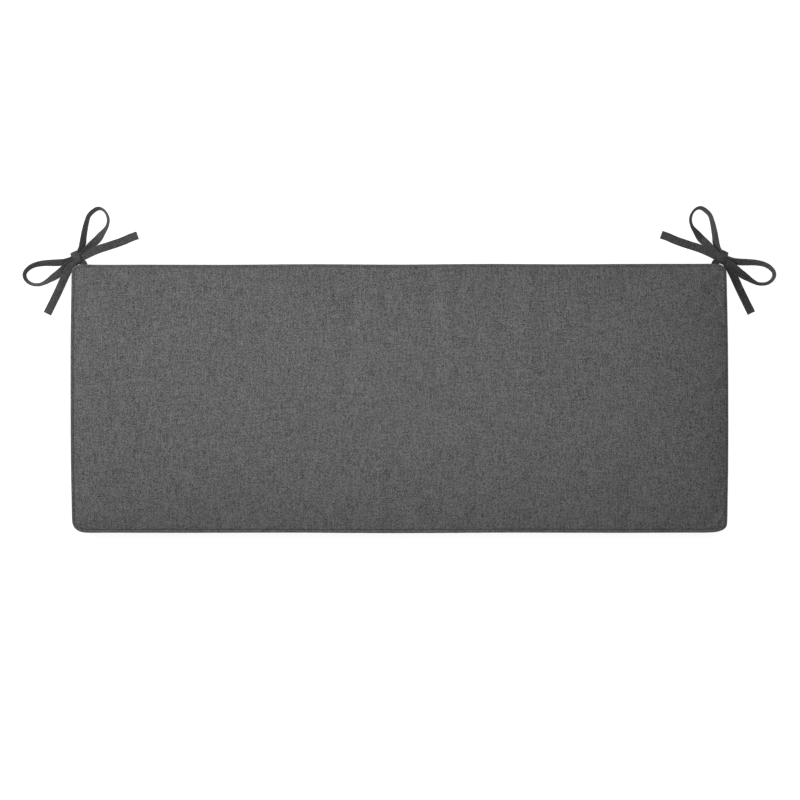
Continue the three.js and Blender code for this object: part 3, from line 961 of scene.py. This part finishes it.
def make_piping(height, seed):
    """A cord along the seam, with small uneven swellings and its allowance in the seam."""
    steps = round(seam.length / TUBE_STEP)
    turns = [2 * math.pi * i / TUBE_SIDES for i in range(TUBE_SIDES)]
    inner = TUBE_SIDES // 2
    sections = []
    for k in range(steps):
        along = seam.length * k / steps
        short, long = along / SHORT_WAVE, along / LONG_WAVE
        swell = 1 + SHORT_SWELL * noise.noise((short, seed, 0)) + LONG_SWELL * noise.noise((long, seed, 4))
        middle = height + WANDER * noise.noise((long, seed, 9))
        radius = PIPING_RADIUS * min(MOST_SWELL, swell)
        ring = [(PIPING_RADIUS - radius * math.cos(a), radius * math.sin(a)) for a in turns]
        ring[inner : inner + 1] = [(ALLOWANCE_INSET, ALLOWANCE_HALF), (ALLOWANCE_INSET, -ALLOWANCE_HALF)]
        sections.append([seam.place(along, inset, middle + up) for inset, up in ring])
    lengths = [seam.length * k / steps for k in range(steps + 1)]
    girth = [2 * math.pi * PIPING_RADIUS * i / TUBE_SIDES for i in range(TUBE_SIDES + 2)]
    mesh = bmesh.new()
    sweep(mesh, sections, lengths, girth, closed=True)
    return mesh


for name, node, height, seed in (
    ("upper_piping", "piping_upper", UPPER_SEAM, 2.7),
    ("lower_piping", "piping_lower", LOWER_SEAM, 7.1),
):
    piping = finished(name, make_piping(height, seed), shaded_piping_cloth, node)
    print(name, "faces:", len(piping.data.polygons))

# %% [markdown]
# ## The ties
#
# Each tie is one flat strip, tied in a bow. A simulation could tie one, but not this one, so the bow is laid
# out as a maker would pin it: a short table of places for each loop and tail, with how far the strip leans
# over there and how wide it is. Its width is less only near the knot, where the strip is squeezed.

# %% Where the bow lies
KNOT_CENTRE = Vector((-544.2, 236.7, 0))

# columns: x and y from the left knot's middle, height of the lower edge, roll in degrees, width
REAR_LOOP = [
    (1.5, 5.5, 1.5, -60, 10.5),
    (5.2, 11.4, 1.3, -54, 12),
    (8.1, 16, 1.1, -49, 13.2),
    (9.9, 21, 0.9, -45, 13.8),
    (11.2, 26, 0.8, -41, 14),
    (12.2, 34, 0.6, -47, 14),
    (14.9, 49.4, 0.4, -55, 14),
    (17.8, 61.4, 0.3, -62, 14),
    (21.3, 71.1, 0.2, -66, 14),
    (28, 78.3, 0.2, -66, 14),
    (36.2, 83.2, 0.2, -69, 14),
    (43.5, 82.2, 0.2, -75, 14),
    (49.6, 76.8, 0.2, -77, 14),
    (53.3, 69.3, 0.2, -73, 14),
    (54.2, 62, 0.2, -71, 14),
    (51.7, 52.4, 0.2, -67, 14),
    (45, 42.5, 0.3, -46, 14),
    (34.6, 30.2, 0.6, 4, 13.4),
    (23.6, 20.8, 1, 33, 13.2),
    (12.5, 12, 1.5, 56, 11),
    (5, 5.5, 2, 72, 9.5),
]
SIDE_LOOP = [
    (-4, -3, 2, 66, 10.5),
    (-12, -8.6, 1.5, 48, 12),
    (-21.8, -18.4, 1, 34, 13.4),
    (-31.5, -27.4, 0.6, 4, 13.2),
    (-44.4, -36.6, 0.3, -46, 14),
    (-52.8, -41.6, 0.2, -60, 14),
    (-59.4, -44.4, 0.2, -68, 14),
    (-67, -45.2, 0.2, -70, 14),
    (-75, -43.9, 0.2, -71, 14),
    (-81.3, -40.2, 0.2, -72, 14),
    (-85.5, -35, 0.2, -71, 14),
    (-87, -30, 0.2, -70, 14),
    (-86.3, -25, 0.2, -69, 14),
    (-82.6, -19.8, 0.2, -66, 14),
    (-77.2, -15.3, 0.2, -63, 14),
    (-71, -12.2, 0.2, -59, 14),
    (-63, -10, 0.3, -54, 14),
    (-54, -8.7, 0.3, -49, 14),
    (-42.6, -8.2, 0.5, -42, 14),
    (-30.5, -7.8, 0.8, -38, 14),
    (-20, -6.4, 1.2, -42, 13.4),
    (-12, -3, 1.6, -52, 12),
    (-5, 1.2, 2, -66, 10),
]
REAR_TAIL = [
    (0, -3, 5.5, 0, 11),
    (8, 0.5, 5.6, 0, 12.5),
    (15, 4.2, 5, 0, 13.5),
    (24, 8.8, 3.6, 4, 14),
    (38, 14.8, 1.8, 4, 14),
    (56, 20.8, 0.6, 2, 14),
    (77, 28, 0.1, 0, 14),
    (92, 34.4, 0.6, 0, 14),
    (103.2, 38.4, 0.3, 0, 13.8),
]
FRONT_TAIL = [
    (1, -1, 6, 0, 11),
    (-4.5, -8, 6.4, 0, 12.5),
    (-10.6, -16.6, 6.2, -2, 13.5),
    (-17.2, -28, 3.8, -3, 13.8),
    (-28.8, -53, 1.2, -2, 13.8),
    (-39.6, -75, 0.2, 0, 13.8),
    (-49, -94, 0.1, 0, 14),
]
SEWN_END = [
    (13.3, -14.5, 7.1, 0, 12),
    (13, -10.5, 6.9, 0, 12),
    (3, -1.5, 4, 0, 11),
]
BOW = [(REAR_TAIL, True), (REAR_LOOP, False), (SIDE_LOOP, False), (FRONT_TAIL, True), (SEWN_END, False)]
print("points laid by hand:", sum(len(table) for table, hemmed in BOW))

# %% [markdown]
# ## The strip
#
# The strip is cloth folded lengthways into four layers and stitched near both edges. Its section has rounded
# folds and a shallow channel where each row of stitches pulls it in. A flat sheet with thickness would be
# simpler, but would show neither. The section needs a place and two directions at even steps along the
# strip: across it, and out of its face.

# %% The strip's section and stations
STRIP_WIDTH = 14
STRIP_HALF = 1.0  # of the strip's thickness
STRIP_STEP = 1.8
STITCH_LINE = 2.1  # from the strip's edge
CHANNEL = 0.68  # of the thickness, where the stitches pull the cloth in
LINE_STEPS = 24  # between two points of a table
UP = Vector((0, 0, 1))


def strip_section(width, puff=0.0, thick=1.0):
    """The strip's outline, as (across, up): round folded edges, and a channel at each row of stitches."""
    edge, up = width / 2, STRIP_HALF * thick
    inner = edge - STITCH_LINE
    upper = [
        (edge, 0),
        (edge - 0.18, 0.55 * up),
        (edge - 0.6, 0.9 * up),
        (inner + 0.6, up),
        (inner, CHANNEL * up),
        (inner - 0.6, up),
        (inner * 0.45, up * (1.04 + puff)),
    ]
    upper += [(-a, b) for a, b in reversed(upper)]
    return upper + [(a, -b) for a, b in reversed(upper[1:-1])]


def girth_of(outline):
    """How far round an outline each of its points lies, in metres, and the first one again at the end."""
    girth = [0.0]
    for (a, b), (c, d) in zip(outline, outline[1:] + outline[:1]):
        girth.append(girth[-1] + math.hypot(c - a, d - b) * MM)
    return girth


def stations(table):
    """Places along a strip at even steps: a point, the directions across it and out of its face, its width
    there, and how far along the strip the place is."""
    points, widths, leans = [], [], []
    for x, y, low, roll, width in smooth_line([Vector(row) for row in table], LINE_STEPS):
        lean = math.radians(roll)
        rise = width / 2 * math.sin(abs(lean)) + STRIP_HALF * math.cos(lean)
        points.append(KNOT_CENTRE + Vector((x, y, low + rise)))
        widths.append(width)
        leans.append(lean)
    kept, along, next_step = [], 0.0, 0.0
    for i, point in enumerate(points):
        along += (point - points[i - 1]).length if i else 0
        if along < next_step and i < len(points) - 1:
            continue
        next_step = along + STRIP_STEP
        ahead = (points[min(i + 2, len(points) - 1)] - points[max(i - 2, 0)]).normalized()
        left = UP.cross(ahead).normalized()
        rise = ahead.cross(left)
        across = left * math.cos(leans[i]) - rise * math.sin(leans[i])
        face = left * math.sin(leans[i]) + rise * math.cos(leans[i])
        kept.append((point, across, face, widths[i], along))
    return kept


strip_girth = girth_of(strip_section(STRIP_WIDTH))
print("way round the strip in mm:", round(strip_girth[-1] / MM, 1))

# %% [markdown]
# ## Loops and tails
#
# A folded strip bends easily over its face and hardly within it, so in a bow the loops stand on one edge and
# the tails lie flat. The section is carried along each line of the bow, with small changes in its width and
# filling, because no strip is pressed evenly. The end of a tail is folded back in a hem: it is a little
# thicker there, has a dent where the hem ends, and rests on the surface all the same.

# %% Loops and tails
HEM = 7  # the length that is folded back at a tail's end
HEM_THICK, HEM_DENT, DENT_LENGTH = 0.22, 0.25, 0.9
END_ROUND, END_LENGTH = 0.35, 0.7
WIDTH_CHANGE, WIDTH_WAVE = 0.02, 13
PUFF, PUFF_WAVE = 0.14, 11  # how much the middle of the strip swells and sinks, and how often


def add_strip(mesh, table, start, hemmed):
    """One loop or tail, with cloth coordinates that go on from a length along the whole tie. Returns its
    stations and the length at its end."""
    made = stations(table)
    end = made[-1][4]
    sections = []
    for point, across, face, width, along in made:
        back = end - along
        thick = rounded = 1
        if hemmed:
            dent = HEM_DENT * math.exp(-((back - HEM) / DENT_LENGTH) ** 2)
            thick = 1 + (HEM_THICK * ease(HEM - back, 0, 1) - dent)
            rounded = 1 - END_ROUND * math.exp(-back / END_LENGTH)
        width *= 1 + WIDTH_CHANGE * noise.noise((along / WIDTH_WAVE, start, 3))
        outline = strip_section(width, PUFF * noise.noise((along / PUFF_WAVE, start, 0)), thick * rounded)
        lift = STRIP_HALF * (PUFF + max(0, thick - 1))
        sections.append([(point + across * a + face * (b + lift)) * MM for a, b in outline])
    sweep(mesh, sections, [(start + station[4]) * MM for station in made], strip_girth)
    return made, start + end


print("a tail's hem in mm:", HEM, "long and", HEM_THICK * STRIP_HALF, "thicker on each face")

# %% [markdown]
# ## The knot
#
# What holds a bow is one turn of the strip, pulled tight round the rest. It shows as a band, with the strands
# bulging a little on either side, and all that is inside stays hidden. So the band is the strip's own section
# swept round a rounded box, and the strands are one thick bundle through it. A true knot would only add
# hidden layers that cut through each other.

# %% The knot
KNOT_TURN = math.radians(24)  # from +X to the line on which the strands leave the knot
KNOT_LENGTH, KNOT_HEIGHT, KNOT_LIFT = 23, 11.5, 0.3
KNOT_POWER = 0.82  # below 1, a circle becomes a rounded box
BAND_WIDTH, BAND_HALF, BAND_STEPS = 13.4, 0.9, 48
BAND_GATHER, BAND_SKEW = 1.6, 0.9  # how much narrower the band is on top, and how far it turns aside
STRAND_SIDES, STRAND_RINGS, STRAND_REACH = 24, 13, 9.2
KNOT_AHEAD = Vector((math.cos(KNOT_TURN), math.sin(KNOT_TURN), 0))
KNOT_ACROSS = Vector((-KNOT_AHEAD.y, KNOT_AHEAD.x, 0))


def squared(value, power):
    """A sine or cosine, pushed outward, so that a circle becomes a rounded box."""
    return math.copysign(abs(value) ** power, value)


def knot_point(turn, shift, length, height):
    """A point of a ring round the knot, shifted along the strands."""
    aside = KNOT_ACROSS * squared(math.cos(turn), KNOT_POWER) * length / 2
    out = aside + UP * squared(math.sin(turn), KNOT_POWER) * height / 2
    return KNOT_CENTRE + UP * (KNOT_LIFT + KNOT_HEIGHT / 2) + out + KNOT_AHEAD * shift


def add_band(mesh, start):
    """The turn of strip that holds the bow. Returns the length of strip in it."""
    length, height = KNOT_LENGTH - 2 * BAND_HALF, KNOT_HEIGHT - 2 * BAND_HALF
    sections = []
    for k in range(BAND_STEPS):
        turn = 2 * math.pi * k / BAND_STEPS
        centre = knot_point(turn, 0, length, height)
        ahead = knot_point(turn + 0.02, 0, length, height) - knot_point(turn - 0.02, 0, length, height)
        normal = ahead.normalized().cross(KNOT_AHEAD)
        normal *= 1 if normal.dot(centre - knot_point(0, 0, 0, 0)) > 0 else -1
        uneven = 0.5 * noise.noise((math.cos(turn), math.sin(turn), 4))
        outline = strip_section(BAND_WIDTH - BAND_GATHER * max(0, math.sin(turn)) + uneven, 0.1)
        place = centre + KNOT_AHEAD * BAND_SKEW * math.sin(turn + 0.6)
        sections.append([(place + KNOT_AHEAD * a + normal * b * BAND_HALF) * MM for a, b in outline])
    round_knot = sum((a[0] - b[0]).length for a, b in zip(sections, sections[1:] + sections[:1])) / MM
    lengths = [(start + round_knot * k / BAND_STEPS) * MM for k in range(BAND_STEPS + 1)]
    sweep(mesh, sections, lengths, strip_girth, closed=True)
    return round_knot


def add_strands(mesh):
    """The strands pressed together inside the band, which bulge a little on either side of it."""
    sections, lengths = [], []
    for k in range(STRAND_RINGS):
        share = -1 + 2 * k / (STRAND_RINGS - 1)
        ring = []
        for i in range(STRAND_SIDES):
            turn = 2 * math.pi * i / STRAND_SIDES
            size = 0.93 * math.sqrt(max(0.04, 1 - 0.92 * share * share))
            size *= 1 - 0.05 * math.cos(3 * turn + share)
            ring.append(knot_point(turn, share * STRAND_REACH, KNOT_LENGTH * size, KNOT_HEIGHT * size) * MM)
        sections.append(ring)
        lengths.append(1 + k * 1.6 * MM)
    sweep(mesh, sections, lengths, [i * 2.4 * MM for i in range(STRAND_SIDES + 1)])


print("knot in mm:", KNOT_LENGTH, "by", BAND_WIDTH, "by", KNOT_HEIGHT)

# %% [markdown]
# ## Rows of stitches
#
# Two rows of topstitching run along each strip and show on both of its faces. A bump pattern could draw them,
# but would stay flat at the strip's edge. So each row is a thin thread that dips into the cloth at every
# stitch, swept like the strip itself. Its section has only five sides, because there are hundreds of
# stitches.

# %% The rows of stitches
STITCH_PITCH = 2.9
THREAD_RADIUS, THREAD_SIDES = 0.3, 5
THREAD_WAVE = (-0.45, 0.15, 0.24, 0.24, 0.15)  # the thread's height over the cloth, through one stitch
THREAD_END = 0.8  # from each end of the strip


def add_stitches(mesh, made, side, over):
    """A row of stitches along a strip, near one edge and on one face: a thread that dips into the cloth."""
    sections, lengths = [], []
    along, k = THREAD_END, 0
    while along < made[-1][4] - THREAD_END:
        i = max(1, bisect.bisect_left([station[4] for station in made], along))
        before, after = made[i - 1], made[i]
        share = (along - before[4]) / (after[4] - before[4])
        point, across, face = (before[j].lerp(after[j], share) for j in range(3))
        width = before[3] + (after[3] - before[3]) * share
        height = over * (CHANNEL * STRIP_HALF + THREAD_WAVE[k % len(THREAD_WAVE)])
        middle = point + across * side * (width / 2 - STITCH_LINE) + face * (height + PUFF * STRIP_HALF)
        ring = []
        for j in range(THREAD_SIDES):
            turn = 2 * math.pi * j / THREAD_SIDES
            ring.append((middle + (across * math.cos(turn) + face * math.sin(turn)) * THREAD_RADIUS) * MM)
        sections.append(ring)
        lengths.append(along * MM)
        along += STITCH_PITCH / len(THREAD_WAVE)
        k += 1
    girth = [2 * math.pi * THREAD_RADIUS * j / THREAD_SIDES * MM for j in range(THREAD_SIDES + 1)]
    sweep(mesh, sections, lengths, girth)


print("rings of thread for one stitch:", len(THREAD_WAVE))

# %% [markdown]
# ## Both bows
#
# The left bow is put together from its loops and tails, the end that is sewn in, the band and the strands in
# it. The right bow in the photo is its mirror image, so instead of a second set of tables it is a mirrored
# copy, moved back a little as the photo shows. Mirroring turns a mesh inside out, so its normals are worked
# out again.

# %% Tie both bows
RIGHT_TIE_SHIFT = 1.05


def make_bow():
    """The left bow and its stitches, and the length of the whole strip in millimetres."""
    mesh, thread = bmesh.new(), bmesh.new()
    start = 0.0
    for table, hemmed in BOW:
        made, start = add_strip(mesh, table, start, hemmed)
        if table is not SEWN_END:
            for side, over in ((-1, 1), (1, 1), (-1, -1), (1, -1)):
                add_stitches(thread, made, side, over)
    start += add_band(mesh, start)
    add_strands(mesh)
    print("strip in one bow in mm:", round(start), "faces:", len(mesh.faces) + len(thread.faces))
    return mesh, thread, start


def as_right(mesh):
    """The right bow's copy of a left one: its mirror image, a little further back."""
    copy = mesh.copy()
    bmesh.ops.scale(copy, vec=(-1, 1, 1), verts=copy.verts)
    bmesh.ops.translate(copy, vec=(0, RIGHT_TIE_SHIFT * MM, 0), verts=copy.verts)
    bmesh.ops.recalc_face_normals(copy, faces=copy.faces)
    return copy


bow, thread, TIE_LENGTH = make_bow()
right_bow, right_thread = as_right(bow), as_right(thread)
left_tie = finished("left_tie", bow, shaded_tie_cloth, "tie_left")
right_tie = finished("right_tie", right_bow, shaded_tie_cloth, "tie_right")
finished("left_tie_stitches", thread, thread_finish, None)
finished("right_tie_stitches", right_thread, thread_finish, None)

# %% [markdown] Folds and cloth add a little to the packed model's size.
